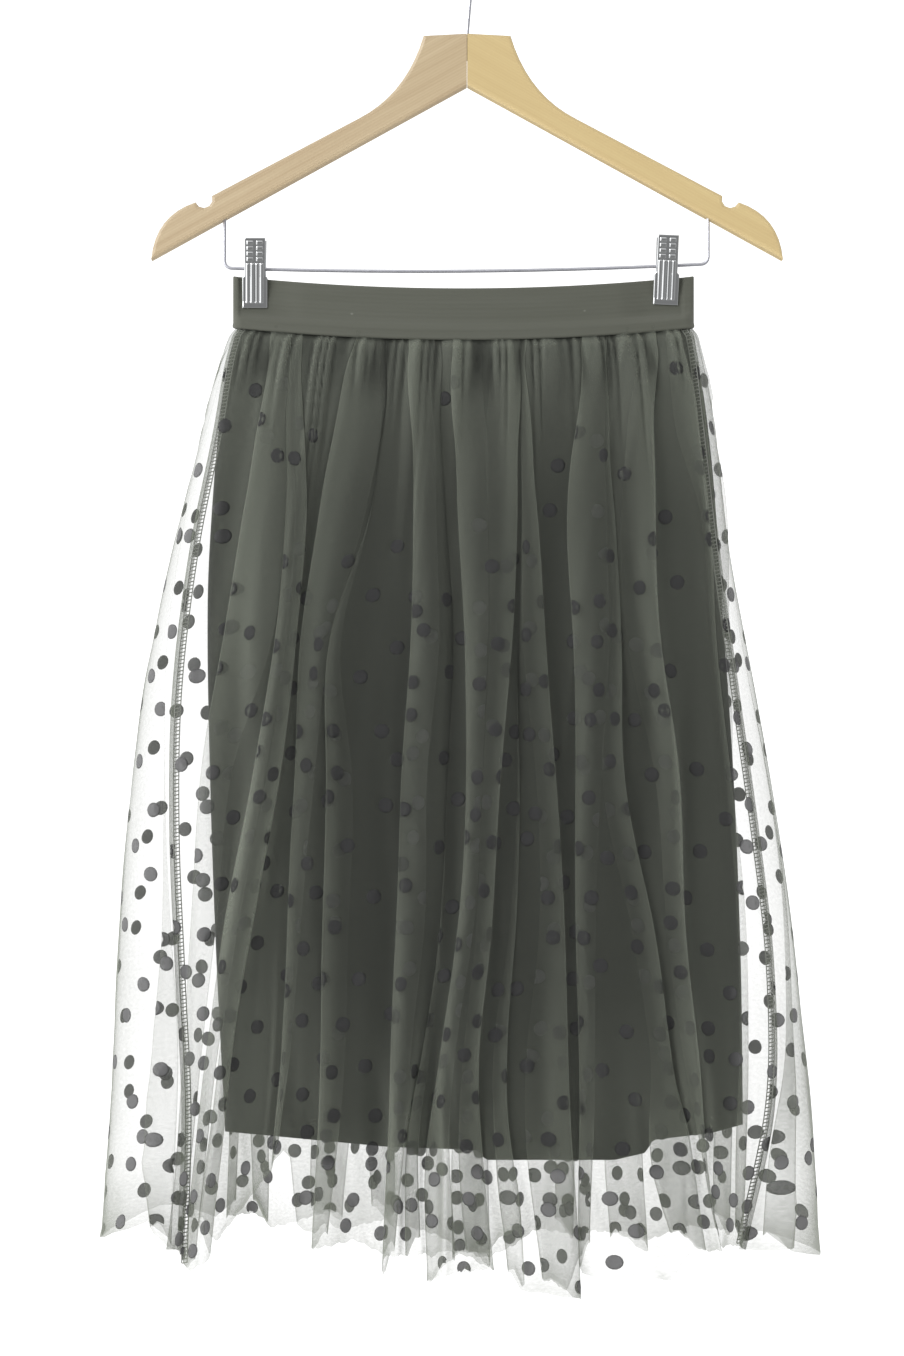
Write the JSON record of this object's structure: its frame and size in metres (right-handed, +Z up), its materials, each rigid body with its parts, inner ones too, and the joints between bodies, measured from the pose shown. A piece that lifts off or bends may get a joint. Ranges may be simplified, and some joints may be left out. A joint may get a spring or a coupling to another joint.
{
  "type": "gathered net skirt on a wooden clip hanger",
  "caption": "Gathered knee-length skirt of dotted net over a plain lining, clipped flat by its elastic waistband to a flat wooden hanger with a wire hook.",
  "frame": {"origin": "inside top of the hanger's hook, where it hangs on a rail", "axes": "+Z up, -Y out of the skirt's front, +X to the right of someone who looks at the front"},
  "size_m": [0.5084, 0.1356, 0.9633],
  "materials": {
    "waistband_elastic": "matt dark grey woven elastic",
    "dotted_net": "sheer fine net with flocked dots",
    "lining_knit": "matt black knit",
    "wood_left": "satin clear varnish, pinkish",
    "wood_right": "satin clear varnish, yellowish",
    "plated_wire": "bright plated wire",
    "clip_chrome": "bright plated pressed sheet",
    "spring_steel": "plain spring wire"
  },
  "bodies": {
    "root": {"hook": "plated_wire", "hanger_arm_left": "wood_left", "hanger_arm_right": "wood_right", "clip_bar": "plated_wire", "clip_left_front": "clip_chrome", "clip_left_back": "clip_chrome", "clip_left_coil": "spring_steel", "clip_right_front": "clip_chrome", "clip_right_back": "clip_chrome", "clip_right_coil": "spring_steel", "waistband": "waistband_elastic", "tulle_front": "dotted_net", "tulle_back": "dotted_net", "lining_front": "lining_knit", "lining_back": "lining_knit"}
  },
  "joints": []
}
